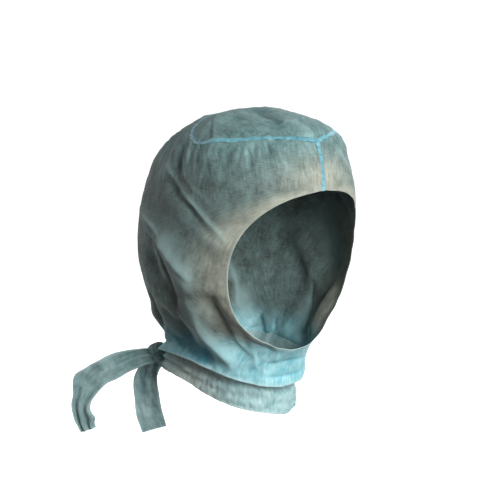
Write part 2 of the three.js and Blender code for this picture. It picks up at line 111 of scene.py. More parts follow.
# Creases are finer than folds: sharp on one side, fading at both ends, and bent at a middle
# point. A positive lean makes the side towards the back steeper.
CREASE_COLUMNS = ("from_angle", "from_hoop", "mid_angle", "mid_hoop", "to_angle", "to_hoop",
                  "width", "height", "lean", "sides")
CREASES = {
    "pull_long": (110, 2.88, 83, 3.6, 55, 5.0, 1.9, 1.7, 0.4, "right"),
    "pull_long_under": (106, 3.1, 82, 3.8, 60, 4.95, 2.6, -1.6, -0.3, "right"),
    "pull_upper": (92, 3.05, 76, 3.5, 62, 4.2, 3.2, 0.6, 0.3, "right"),
    "pull_back_edge": (131, 4.1, 107, 4.4, 94, 4.85, 2.0, 1.6, 0.4, "right"),
    "pull_back_under": (126, 4.35, 106, 4.75, 96, 5.05, 3.5, -1.1, -0.3, "right"),
    "pleat_bright": (100, 2.1, 94, 2.4, 89, 2.85, 2.0, 1.5, 0.4, "right"),
    "pleat_a": (112, 2.35, 105, 2.65, 99, 2.95, 2.4, 1.5, 0.4, "right"),
    "pleat_b": (96, 2.34, 92, 2.84, 86, 3.16, 2.2, 1.2, 0.3, "right"),
    "pleat_dark": (104, 2.3, 98, 2.7, 92, 3.1, 2.4, -1.4, 0.0, "right"),
    "pleat_c": (88, 2.3, 84, 2.7, 80, 3.1, 2.2, 0.9, 0.2, "right"),
    "pleat_d": (80, 2.25, 77, 2.6, 74, 3.0, 2.2, 0.7, 0.0, "right"),
    "ear_rim": (96, 4.8, 86, 5.35, 74, 5.95, 4.0, 2.4, 0.4, "right"),
    "behind_ear_fold": (101, 4.8, 93, 5.6, 91, 6.9, 4.5, -2.8, 0.3, "right"),
    "nape_valley": (116, 6.3, 122, 7.3, 124, 8.6, 5.0, -2.5, 0.2, "right"),
    "low_valley_a": (92, 6.3, 93, 7.4, 92, 9.2, 6.5, -3.2, 0.2, "right"),
    "low_ridge": (80, 6.5, 69, 8.2, 50, 10.5, 6.5, 3.0, 0.2, "right"),
    "low_valley_b": (65, 6.4, 60, 7.3, 56, 8.6, 5.0, -3.0, -0.2, "right"),
    "chin_ridge": (55, 7.4, 49, 8.6, 34, 9.4, 5.0, 2.4, 0.3, "right"),
    "under_opening": (50, 7.4, 38, 8.6, 12, 9.2, 4.0, -1.8, 0.0, "right"),
    "hem_hollow": (112, 9.0, 94, 9.9, 66, 10.3, 8.5, -2.8, 0.0, "right"),
    "throat_crease_a": (27, 9.81, 0, 9.7, -27, 9.81, 2.5, -1.0, 0.0, "both"),
    "throat_crease_b": (25, 10.5, 0, 10.45, -25, 10.5, 2.5, -0.9, 0.0, "both"),
    "throat_line": (37, 9.12, 34, 9.6, 32, 10.17, 2.0, 0.8, 0.0, "right"),
    "nape_pleat_a": (118, 8.3, 112, 9.2, 112, 10.2, 4.0, -1.8, 0.3, "both"),
    "nape_pleat_b": (104, 8.6, 100, 9.4, 104, 10.5, 3.6, 1.5, 0.3, "both"),
    "nape_pleat_c": (128, 8.6, 126, 9.4, 132, 10.4, 3.4, 1.5, -0.2, "both"),
    "crown_arc_low": (22, 1.51, 8, 1.5, 3, 2.2, 2.0, 1.1, 0.3, "right"),
    "crown_arc_high": (43, 0.37, 24, 1.1, 25, 1.65, 3.2, -1.3, 0.2, "right"),
    "crown_bend": (102, 1.0, 88, 1.5, 76, 2.0, 2.0, 1.3, 0.4, "right"),
    "crown_bend_under": (98, 1.1, 86, 1.6, 78, 2.0, 2.6, -1.6, 0.0, "right"),
    "forehead_a": (30, 2.3, 27, 2.8, 24, 3.3, 2.8, 0.8, 0.2, "right"),
    "forehead_b": (50, 2.2, 46, 2.75, 43, 3.3, 3.0, -0.8, 0.0, "right"),
    "forehead_far": (18, 2.5, 24, 3.0, 32, 3.5, 3.6, 1.3, 0.3, "left"),
    "far_brow": (50, 2.2, 54, 2.8, 58, 3.4, 18.0, -3.2, 0.0, "left"),
    "far_pull": (100, 3.1, 78, 4.0, 60, 4.9, 3.4, 1.4, 0.4, "left"),
    "far_pleat_a": (104, 2.5, 98, 2.8, 92, 3.2, 2.6, 1.1, 0.3, "left"),
    "far_pleat_b": (94, 2.5, 90, 2.8, 86, 3.2, 2.6, -1.1, 0.0, "left"),
    "far_low_ridge": (90, 6.6, 76, 8.0, 60, 9.5, 4.5, 2.0, -0.3, "left"),
    "far_low_valley": (70, 6.8, 60, 7.8, 50, 8.9, 4.2, -1.8, 0.3, "left"),
    "back_fold_a": (168, 3.0, 160, 3.9, 148, 5.0, 4.0, 1.5, 0.4, "both"),
    "back_fold_b": (172, 5.2, 162, 6.2, 156, 7.4, 4.0, -1.6, 0.3, "both"),
    "back_fold_c": (150, 5.6, 142, 6.6, 140, 7.8, 4.0, 1.5, 0.2, "both"),
}

# Tie ends: the middle of the strap from the knot to its cut end, with the angle of its face and
# how much of the full width lies open
STRAP_COLUMNS = ("x", "y", "z", "turn", "spread")
LONG_TIE = (
    (-45, 118.2, -225.4, 6, 0.60),
    (-54, 121, -225, 2, 0.68),
    (-70, 130, -229, -6, 0.90),
    (-88, 143, -237, -10, 0.98),
    (-99, 152, -250, -4, 0.90),
    (-103, 156, -265, 8, 0.78),
    (-101, 156, -280, 14, 0.72),
    (-98, 155, -290, 12, 0.66),
)
SHORT_TIE = (
    (-35.7, 120.2, -231.7, 4, 0.56),
    (-38, 128, -240, 0, 0.78),
    (-38, 135, -250, -4, 0.92),
    (-36, 139, -265, -8, 0.96),
    (-34, 140, -283, -4, 1),
    (-32, 138, -300, 2, 1),
)

# Kinks in the long tie's edges: place and width along it, which edge, and how far out
KINK_COLUMNS = ("at", "width", "edge", "out")
LONG_KINKS = (
    (0.52, 0.05, 1, 3.5),
    (0.64, 0.04, 1, -1.5),
    (0.86, 0.05, -1, 2.5),
    (0.34, 0.05, -1, 1.5),
)
INTO_KNOT = 0.6            # how far a tie runs on into the knot, in steps of its table

# Cells of each cloth, across and along
CELLS = {
    "crown": 120, "panel_columns": 200, "seam_rows": 34, "opening_rows": 150, "throat_rows": 30,
    "ring": 420, "band_rows": 44, "seam_across": 8, "front_seam": 60,
    "strap_along": 190, "strap_across": 36, "knot_round": 96, "knot_down": 64,
}


# Form of the hood, as functions of an angle from the face opening and a height in hoops
radians = math.radians
COLUMN = {name: i for i, name in enumerate(HOOP_COLUMNS)}
HOOP_NAMES = list(HOOPS)
CROWN_SEAM = HOOP_NAMES.index("crown_seam")
BROW = HOOP_NAMES.index("brow")
CHIN = HOOP_NAMES.index("chin")
COLLAR = HOOP_NAMES.index("collar")
STEP = 0.01                # for slopes, in radians or hoops
HOOD_MIDDLE = (0, 0, -120)


def padded_hoops():
    """The hoops with one more at each end. Past the pole the heights mirror and the widths run on."""
    rows = np.array(list(HOOPS.values()), float)
    before = np.where([c.endswith("_z") for c in HOOP_COLUMNS], rows[1], 2 * rows[0] - rows[1])
    return np.vstack((before, rows, 2 * rows[-1] - rows[-2]))


HOOP_ROWS = padded_hoops()


def through(a, b, c, d, t):
    """The point a share t of the way from b to c, on the smooth curve through all four, and the
    direction of the curve there."""
    first, second, third = c - a, 2 * a - 5 * b + 4 * c - d, 3 * b - a - 3 * c + d
    point = 0.5 * (2 * b + first * t + second * t ** 2 + third * t ** 3)
    return point, first + 2 * second * t + 3 * third * t ** 2


def between(v):
    """The hoops at heights between two rows, on smooth curves through them."""
    v = np.asarray(v, float)
    row = np.clip(np.floor(v).astype(int), 0, COLLAR - 1)
    return through(*(HOOP_ROWS[row + k] for k in range(4)), (v - row)[..., None])[0]


def hoop_point(hoop, angle):
    c = np.cos(angle)

    def along(axis):
        front, side, back = (hoop[..., COLUMN[f"{at}_{axis}"]] for at in ("front", "side", "back"))
        return side + (front - back) / 2 * c + ((front + back) / 2 - side) * c ** 2

    return np.stack((-hoop[..., COLUMN["half_width"]] * np.sin(angle), along("y"),
                     along("z") + CROWN_LIFT), -1)


def smooth(angle, v):
    """A point of the hood's right half without its folds."""
    return hoop_point(between(v), angle)


def unit(vectors):
    return vectors / np.maximum(np.linalg.norm(vectors, axis=-1, keepdims=True), 1e-12)


def slopes(angle, v):
    """How the hood runs round and down at a point: millimetres for a radian and for a hoop."""
    v = np.asarray(v, float)
    low, high = np.maximum(v - STEP, 0), np.minimum(v + STEP, COLLAR)
    return ((smooth(angle + STEP, v) - smooth(angle - STEP, v)) / (2 * STEP),
            (smooth(angle, high) - smooth(angle, low)) / (high - low)[..., None])


def outward(angle, v):
    around, down = slopes(angle, v)
    normal = -unit(np.cross(down, around))
    return np.where((np.asarray(v) < STEP)[..., None], (0.0, 0.0, 1.0), normal)


def bell(distance, width):
    return np.exp(-(distance / width) ** 2)


def ease(x, low, high):
    t = np.clip((x - low) / (high - low), 0, 1)
    return t * t * (3 - 2 * t)


def nearest_on(points, line):
    """For each point: its distance to a line of points, which side of it, and how far along.
    The side is 1 towards the back and -1 towards the front, seen from the hood's middle."""
    best = np.full(len(points), np.inf)
    side, share = np.zeros(len(points)), np.zeros(len(points))
    for k, (start, end) in enumerate(zip(line, line[1:])):
        run = end - start
        t = np.clip((points - start) @ run / (run @ run), 0, 1)
        away = points - start - t[:, None] * run
        distance = np.linalg.norm(away, axis=1)
        closer = distance < best
        best[closer] = distance[closer]
        share[closer] = (k + t[closer]) / (len(line) - 1)
        back = np.cross(run, (start + end) / 2 - HOOD_MIDDLE)
        side[closer] = np.sign(away[closer] @ back)
    return best, side, share


FOLD_POINTS = 10
# Broad folds also count in the painted highlight on ridges and the painted shade in hollows
FOLD_PAINTED_SHADING = 0.3            # how much a broad fold counts against a crease in the cloth's colour
# Every crease is drawn this much deeper, fades at its ends, and falls off to both sides
CREASE_FORM = {"deeper": 1.25, "fade": 0.6, "fall": 1.5}


def lines_of(table, columns):
    """Each row of a table as named values, with its line of points on the smooth hood. The line
    bends through a middle point, if the row has one."""
    s = np.linspace(0, 1, FOLD_POINTS + 1)[:, None]
    lines = []
    for values in table.values():
        row = dict(zip(columns, values))
        ends = [np.array((row[f"{at}_angle"], row[f"{at}_hoop"])) for at in ("from", "to")]
        half_way = sum(ends) / 2
        middle = np.array((row["mid_angle"], row["mid_hoop"])) if "mid_hoop" in row else half_way
        bend = 2 * middle - half_way
        angle, v = ((1 - s) ** 2 * ends[0] + 2 * s * (1 - s) * bend + s ** 2 * ends[1]).T
        lines.append((row, smooth(np.radians(angle), v)))
    return lines


FOLD_LINES = lines_of(FOLDS, FOLD_COLUMNS)
CREASE_LINES = lines_of(CREASES, CREASE_COLUMNS)


def fold_height(points, side):
    height = np.zeros(len(points))
    for fold, line in FOLD_LINES:
        if fold["sides"] in ("both", side):
            height += fold["height"] * bell(nearest_on(points, line)[0], fold["width"])
    return height


def crease_height(points, side):
    height = np.zeros(len(points))
    for crease, line in CREASE_LINES:
        if crease["sides"] not in ("both", side):
            continue
        distance, hand, share = nearest_on(points, line)
        width = crease["width"] * (1 - crease["lean"] * hand)
        taper = np.clip(4 * share * (1 - share), 0, 1) ** CREASE_FORM["fade"]
        fall = (1 + (distance / width) ** 2) ** CREASE_FORM["fall"]
        height += CREASE_FORM["deeper"] * crease["height"] * taper / fall
    return height


RIPPLE_WAVES = 28
RIPPLE_RATES = (0.6, 1.5)  # the slowest and the quickest wave, against a middle one


def ripple(points, size, seed, upright=1):
    """Smooth random height from about -1 to 1, with hills about size apart, and upright times as
    tall as they are wide."""
    draw = np.random.default_rng(seed)
    total = np.zeros(len(points))
    for _ in range(RIPPLE_WAVES):
        way = unit(draw.normal(size=3)) / np.array((1, 1, upright))
        rate = 2 * math.pi / size * draw.uniform(*RIPPLE_RATES)
        total += np.sin(points @ way * rate + draw.uniform(0, 2 * math.pi))
    return total / math.sqrt(RIPPLE_WAVES)


# Shallow rumples of the cloth, and the hoops between which those of the neck and of the gathers
# below the crown seam set in
RUMPLE_COLUMNS = ("height", "size", "seed", "upright", "where")
RUMPLES = {
    "broad": (0.45, 34, 3, 1, "all"),
    "small": (0.22, 13, 5, 1, "all"),
    "neck": (0.5, 26, 7, 3.5, "neck"),
    "neck_small": (0.12, 9, 9, 1, "neck"),
    "gathers": (0.6, 8, 11, 3.5, "gathers"),
}
NECK_RUMPLES = (6.5, 9.5)
GATHERS = {"below_seam": 0.45, "width": 0.35, "start": 0.2}


def rumple_height(points, v):
    gathers = bell(v - CROWN_SEAM - GATHERS["below_seam"], GATHERS["width"])
    gathers = gathers * ease(v, CROWN_SEAM, CROWN_SEAM + GATHERS["start"])
    share = {"all": 1.0, "neck": ease(v, *NECK_RUMPLES), "gathers": gathers}
    height = np.zeros(len(points))
    for values in RUMPLES.values():
        rumple = dict(zip(RUMPLE_COLUMNS, values))
        hills = ripple(points, rumple["size"], rumple["seed"], rumple["upright"])
        height += share[rumple["where"]] * rumple["height"] * hills
    return height


def mirror_for(side):
    """What turns a point of the right half into one of its own side."""
    return np.stack((side, np.ones_like(side), np.ones_like(side)), -1)


def pulled(angle, v, side, normal):
    """How far the cloth is drawn out towards the knot."""
    turn = np.where(side > 0, angle, 2 * math.pi - angle)
    reach = PULL["reach"] * ease(v, HOOP_NAMES.index(PULL["from"]), COLLAR)
    level = unit(normal * (1, 1, 0))
    return level * (reach * bell(turn - radians(PULL["at"]), radians(PULL["width"])))[:, None]


def skin(angle, v, side):
    """Points of the hood's outer face with its folds, the way out from them, and how far the cloth
    is raised in a ridge or sunk in a hollow. side is 1 on the right and -1 on the left."""
    angle, v = (np.asarray(x, float) for x in np.broadcast_arrays(angle, v))
    side = np.broadcast_to(side, angle.shape)
    flat, normal = smooth(angle, v), outward(angle, v)
    crease = np.where(side > 0, crease_height(flat, "right"), crease_height(flat, "left"))
    fold = np.where(side > 0, fold_height(flat, "right"), fold_height(flat, "left"))
    mirror = mirror_for(side)
    rumple = rumple_height(flat * mirror, v)
    point = flat + normal * (fold + crease + rumple)[:, None] + pulled(angle, v, side, normal)
    # The third value, crease heights plus a share of the fold heights, sets the painted highlight on
    # ridges and the painted shade in hollows of the cloth's colour
    return point * mirror, normal * mirror, crease + FOLD_PAINTED_SHADING * fold


def seam_height(angle):
    """The crown seam's height, in hoops."""
    corner = bell(angle - radians(SEAM_CORNER["at"]), radians(SEAM_CORNER["width"]))
    return (CROWN_SEAM + SEAM_POINT["drop"] * bell(angle, radians(SEAM_POINT["width"]))
            + SEAM_CORNER["drop"] * corner
            - SEAM_REAR["rise"] * ease(angle, radians(SEAM_REAR["from"]), radians(SEAM_REAR["to"])))


def seam_direction(angle):
    step = np.minimum(STEP, math.pi - angle + STEP)
    ahead = smooth(angle + step, seam_height(angle + step))
    return unit(ahead - smooth(angle - step, seam_height(angle - step)))


def seam_margin(angle, distance):
    """How many hoops make a distance square to the crown seam."""
    down = slopes(angle, seam_height(angle))[1]
    slant = np.linalg.norm(np.cross(unit(down), seam_direction(angle)), axis=-1)
    return distance / (np.linalg.norm(down, axis=-1) * slant)


def side_edge(angle):
    return seam_height(angle) + seam_margin(angle, SEAM_TUCK)


def crown_edge(angle):
    return seam_height(angle) - seam_margin(angle, SEAM_TUCK)


def midline_angle(v, distance):
    """The angle that makes a distance from the middle line at the front."""
    return distance / np.linalg.norm(slopes(0.0, v)[0], axis=-1)


def opening_point(t):
    """The face opening's edge, from 0 at the forehead to 1 at the throat."""
    power = OPENING["roundness"] + OPENING["droop"] * bell(t, OPENING["droop_reach"])
    wave = np.maximum(np.sin(math.pi * t), 0) ** power
    clear = midline_angle(BROW, SEAM_TUCK) * (1 - t)
    angle = clear + radians(OPENING["half_angle"]) * wave * (1 - OPENING["taper"] * t)
    return angle, BROW + (CHIN - BROW) * (1 - np.cos(math.pi * t)) / 2


FINE_STEPS = 400


def evenly(curve, count):
    """Angles and heights at even distances along a curve of the hood."""
    fine = np.linspace(0, 1, FINE_STEPS)
    angle, v = (np.broadcast_to(x, fine.shape) for x in curve(fine))
    step = np.linalg.norm(np.diff(smooth(angle, v), axis=0), axis=1)
    length = np.concatenate(((0,), np.cumsum(step)))
    t = np.interp(np.linspace(0, length[-1], count + 1), length, fine)
    return np.stack([np.broadcast_to(x, t.shape) for x in curve(t)], -1)


def stretches(*parts):
    """Several curves, each with its count of steps, joined end to end."""
    joined = [evenly(*parts[0])]
    joined += [evenly(curve, count)[1:] for curve, count in parts[1:]]
    return np.concatenate(joined)


def linked(name, data):
    """A new object in the scene."""
    made = bpy.data.objects.new(name, data)
    bpy.context.scene.collection.objects.link(made)
    return made


def smooth_object(name, work):
    mesh = bpy.data.meshes.new(name)
    work.to_mesh(mesh)
    work.free()
    mesh.shade_smooth()
    return linked(name, mesh)


# Making a cloth
MERGE = 0.02               # points of a closed cloth that lie nearer than this are one


def grid_piece(name, columns, rows, place, wrapped=False):
    """A cloth made from a flat grid. place takes shares across and along the cloth, from 0 to 1,
    and gives points in millimetres, the way out from them, and named values to keep for the
    material. The cloth's own lengths in metres become its UV map."""
    work = bmesh.new()
    bmesh.ops.create_grid(work, x_segments=columns, y_segments=rows, size=0.5)
    flat = np.array([vertex.co for vertex in work.verts])
    low, high = flat.min(0), flat.max(0)
    across = (flat[:, 0] - low[0]) / (high[0] - low[0])
    along = (flat[:, 1] - low[1]) / (high[1] - low[1])
    points, normals, kept = place(across, along)
    cell = np.rint(along * rows).astype(int), np.rint(across * columns).astype(int)
    table = np.empty((rows + 1, columns + 1, 3))
    table[cell] = points * MM
    lengths = []
    for axis in (1, 0):
        steps = np.diff(table, axis=axis, prepend=np.take(table, [0], axis))
        lengths.append(np.cumsum(np.linalg.norm(steps, axis=2), axis=axis))
    for vertex, point in zip(work.verts, points * MM):
        vertex.co = point
    uv = work.loops.layers.uv.new("cloth")
    layers = {key: work.verts.layers.float.new(key) for key in kept}
    for i, vertex in enumerate(work.verts):
        for key, layer in layers.items():
            vertex[layer] = float(kept[key][i])
        laid = [length[cell[0][i], cell[1][i]] for length in lengths]
        for loop in vertex.link_loops:
            loop[uv].uv = laid
    work.normal_update()
    facing = np.array([vertex.normal for vertex in work.verts])
    if (facing * normals).sum() < 0:
        bmesh.ops.reverse_faces(work, faces=work.faces)
    if wrapped:
        bmesh.ops.remove_doubles(work, verts=work.verts, dist=MERGE * MM)
    return smooth_object(name, work)


def thicken(piece, thickness=CLOTH_THICKNESS, offset=-1.0):
    wall = piece.modifiers.new("cloth_thickness", "SOLIDIFY")
    wall.thickness = thickness * MM
    wall.offset = offset
    wall.use_quality_normals = True
    return piece


# Where the colour changes: the hoops from crown to sides, how far the pale strip reaches from the
# face opening, and the depths from sides to neck, which start higher towards the back
SIDE_HOOPS = (1.9, 3.6)
FRONT_REACH = 34.0
NECK_DEPTHS = (192.0, 222.0)
NECK_LEAN = 0.15


def zones_at(point, v, from_front=np.inf):
    """How far each colour zone of the hood's cloth counts at points of it."""
    sides = ease(v, *SIDE_HOOPS)
    return {"side_zone": sides, "front_zone": bell(from_front, FRONT_REACH) * sides,
            "neck_zone": ease(NECK_LEAN * point[:, 1] - point[:, 2], *NECK_DEPTHS)}


def half_turn(turn):
    """An angle round the whole hood as an angle of one half, and the side that it lies on."""
    side = np.where(turn <= math.pi, 1.0, -1.0)
    return np.where(turn <= math.pi, turn, 2 * math.pi - turn), side


def crown_cloth():
    def place(across, along):
        x, y = 2 * across - 1, 2 * along - 1
        disc_x, disc_y = x * np.sqrt(1 - y * y / 2), y * np.sqrt(1 - x * x / 2)
        angle, side = half_turn(np.mod(np.arctan2(disc_x, disc_y), 2 * math.pi))
        v = np.hypot(disc_x, disc_y) * crown_edge(angle)
        point, normal, crease = skin(angle, v, side)
        return point, normal, {"crease": crease, "edge": np.zeros(len(v)), **zones_at(point, v)}

    return thicken(grid_piece("crown_cloth", CELLS["crown"], CELLS["crown"], place))


# Hoops where the rows that start at the two ends of the face opening reach the back
REAR_HOOPS = (CROWN_SEAM + 0.95, CHIN + 0.5)
# Painted highlight along the cut rims: how far it fades in from the face opening, the hems and a tie's
# edges
RIM_HIGHLIGHT_WIDTH = {"opening": 0.9, "hem": 1.0, "tie": 0.8}      # how far a paler rim fades in
COLLAR_STEP = 14           # from the last hoop but one to the collar
FLARE = {"out": 1.2, "hoops": 0.22}                        # of the hood's lower edge


def side_cloth(name, side):
    """Rows run from the front edge, which is the forehead seam, the face opening and the throat,
    round to the middle of the back."""
    def front_stretch(top, bottom, clear):
        return lambda t: (midline_angle(top + (bottom - top) * t, clear), top + (bottom - top) * t)

    def back_stretch(top, bottom):
        return lambda t: (math.pi + 0 * t, top + (bottom - top) * t)

    counts = CELLS["seam_rows"], CELLS["opening_rows"], CELLS["throat_rows"]
    front = stretches((front_stretch(side_edge(0.0), BROW, SEAM_TUCK), counts[0]),
                      (opening_point, counts[1]), (front_stretch(CHIN, COLLAR, 0.0), counts[2]))
    rear = stretches((back_stretch(side_edge(math.pi), REAR_HOOPS[0]), counts[0]),
                     (back_stretch(*REAR_HOOPS), counts[1]),
                     (back_stretch(REAR_HOOPS[1], COLLAR), counts[2]))
    rows = len(front) - 1

    def place(across, along):
        row = np.rint(along * rows).astype(int)

        def height(row, across):
            return front[row, 1] + (rear[row, 1] - front[row, 1]) * (1 - (1 - across) ** 2)

        angle = front[row, 0] + (rear[row, 0] - front[row, 0]) * across
        fade = (1 - row / rows) ** 3
        v = height(row, across) + (side_edge(angle) - height(0, across)) * fade
        v = np.minimum(v, COLLAR)
        point, normal, crease = skin(angle, v, side)
        beside = np.clip(row, counts[0], counts[0] + counts[1])
        away = smooth(angle, v) - smooth(front[beside, 0], front[beside, 1])
        from_front = np.linalg.norm(away, axis=1)
        # A painted highlight along the face opening and the hood's hem
        rim_highlight = np.where(row == beside, np.exp(-from_front / RIM_HIGHLIGHT_WIDTH["opening"]), 0)
        edge = np.maximum(rim_highlight, np.exp(-(COLLAR - v) * COLLAR_STEP / RIM_HIGHLIGHT_WIDTH["hem"]))
        flare = FLARE["out"] * np.exp(-(COLLAR - v) / FLARE["hoops"])
        point = point + normal * flare[:, None]
        return point, normal, {"crease": crease, "edge": edge, **zones_at(point, v, from_front)}

    return thicken(grid_piece(name, CELLS["panel_columns"], rows, place))


# Slow waves along a welded seam, each with its height, rate and start: how it wanders to the side,
# how its width changes, and how its pressed marks drift and fade
SEAM_WAVES = {
    "wander": ((0.35, 0.21, 0), (0.25, 0.53, 1)),
    "width": ((0.10, 0.37, 0), (0.07, 0.91, 2)),
    "drift": ((1.3, 0.11, 0),),
    "fade": ((0.45, 0.043, 1),),
}
MARKS = {"pitch": 8.6, "from": 0.35, "to": 0.85, "strength": 0.55, "deep": 0.22}
PUCKER = {"height": 0.12, "rate": 0.8, "slant": 3}


def seam_wave(name, length):
    return sum(height * np.sin(length * rate + start) for height, rate, start in SEAM_WAVES[name])


def seam_profile(across):
    """Height of a welded seam across its width: a flat strip with rounded sides."""
    return SEAM_PROUD * (1 - np.abs(2 * across - 1) ** 4) - SEAM_SINK


def seam_cloth(name, count, route, wrapped):
    """A welded seam along a route, which gives points, the way out and the way along. The weld
    is stamped in short marks, and the cloth puckers beside it."""
    def place(across, along):
        point, normal, way = route(along)
        sideways = unit(np.cross(normal, way))
        length = along * count
        offset = (across - 0.5) * SEAM_WIDTH * (1 + seam_wave("width", length))
        offset = offset + seam_wave("wander", length)
        beat = np.sin(2 * math.pi * length / MARKS["pitch"] + seam_wave("drift", length))
        mark = ease(beat, MARKS["from"], MARKS["to"]) * (MARKS["strength"] + seam_wave("fade", length))
        dent = MARKS["deep"] * mark * np.cos(math.pi * (across - 0.5))
        pucker = PUCKER["height"] * np.sin(length * PUCKER["rate"] + across * PUCKER["slant"])
        height = seam_profile(across) - dent + pucker
        spot = point + sideways * offset[:, None] + normal * height[:, None]
        return spot, normal, {"mark": mark, "across": np.abs(2 * across - 1)}

    return thicken(grid_piece(name, CELLS["seam_across"], count, place, wrapped), SEAM_THICKNESS)


def crown_seam():
    def route(along):
        angle, side = half_turn(np.clip(along, 0, 1) * 2 * math.pi)
        point, normal, _ = skin(angle, seam_height(angle), side)
        return point, normal, seam_direction(angle) * mirror_for(side) * side[:, None]

    return seam_cloth("crown_seam_weld", CELLS["ring"], route, True)


FRONT_SEAM = (CROWN_SEAM + SEAM_POINT["drop"], BROW + 0.02)    # its two ends, in hoops


def front_seam():
    def route(along):
        v = FRONT_SEAM[0] + (FRONT_SEAM[1] - FRONT_SEAM[0]) * along
        angle = np.zeros_like(v)
        point, normal, _ = skin(angle, v, 1)
        return point, normal, np.cross(normal, (1.0, 0, 0))

    return seam_cloth("front_seam_weld", CELLS["front_seam"], route, False)


# Where the band's hem rides up or hangs down: angle to the right, width and lift
HEM_LIFTS = {"right_side": (102, 48, 5.0), "left_front": (-16, 24, -5.0)}


def band_point(angle, side, t):
    """The band without its creases, from inside the hood at 0 to the hem at 1, and the way out."""
    point, normal, _ = skin(angle, np.full_like(angle, COLLAR - BAND_OVERLAP), side)
    point = point - normal * (WALL + GAP)
    hem = hoop_point(np.array(BAND_HEM, float), angle)
    out = unit((hem - (0, BAND_HEM[COLUMN["side_y"]], 0)) * (1, 1, 0))
    hem = hem + pulled(angle, np.full_like(angle, COLLAR), side, out)
    for at, width, lift in HEM_LIFTS.values():
        hem[:, 2] += lift * bell(angle * side - radians(at), radians(width))
    mirror = mirror_for(side)
    hem, out = hem * mirror, out * mirror
    point = point + (hem - point) * t[:, None] - out * (BAND_TUCK * np.sin(math.pi * t))[:, None]
    return point, out


# The band's creases: height, how many lie down the band, how many more near the knot, and how they
# wander round it. They are higher near the knot, and set in below the hood's edge.
BAND_CREASE_COLUMNS = ("height", "count", "more", "wander", "rounds", "start")
BAND_CREASES = ((1.0, 1.6, 1, 0.12, 2, 1), (0.5, 3.7, 0, 0.2, 3, 0))
BAND_RUMPLES = ((0.6, 16, 21), (0.3, 7, 23))    # height, size and seed
BAND_GATHER = {"width": 60, "away": 0.5, "near": 0.9}
BAND_SET_IN = (0.2, 0.5)
BAND_DEPTH = 45
BAND_PALE = {"at": 98, "width": 34}


def neck_band():
    """The band gathers towards the knot, so its creases run round it and meet there."""
    def place(across, along):
        turn = across * 2 * math.pi
        angle, side = half_turn(turn)
        point, out = band_point(angle, side, along)
        gather = bell(turn - radians(PULL["at"]), radians(BAND_GATHER["width"]))
        crease = np.zeros(len(turn))
        for values in BAND_CREASES:
            line = dict(zip(BAND_CREASE_COLUMNS, values))
            wander = line["wander"] * np.sin(line["rounds"] * turn + line["start"])
            down = along * (line["count"] + line["more"] * gather) + wander
            crease += line["height"] * np.sin(2 * math.pi * down)
        crease *= BAND_GATHER["away"] + BAND_GATHER["near"] * gather
        rumple = sum(height * ripple(point, size, seed) for height, size, seed in BAND_RUMPLES)
        height = (crease + rumple) * ease(along, *BAND_SET_IN)
        # The crease heights also set the band's painted highlight on ridges and painted shade in hollows
        return point + out * height[:, None], out, {
            # painted highlight along the band's hem
            "crease": crease, "edge": np.exp(-(1 - along) * BAND_DEPTH / RIM_HIGHLIGHT_WIDTH["hem"]),
            "side_zone": bell(turn - radians(BAND_PALE["at"]), radians(BAND_PALE["width"]))}

    return thicken(grid_piece("neck_band_cloth", CELLS["ring"], CELLS["band_rows"], place, True))


# A tie's lengthwise pleats, with the share of their painted highlight and painted shade, its rumples, and
# how its edges waver. The seeds count from its own.
PLEATS = {"count": 2.2, "depth": 1.1, "wander": 0.25, "bends": 5, "least_slack": 0.02, "painted_shading": 0.8}
TIE_RUMPLES = ((0.8, 18, 0), (0.2, 7, 1))       # height, size and seed
TIE_WAVER = {"out": 1.3, "size": 34, "seed": 2}
TIE_LENGTH = 110
KINK_RUN = (-0.1, 0.5)     # how far across the tie a kink reaches, to its edge


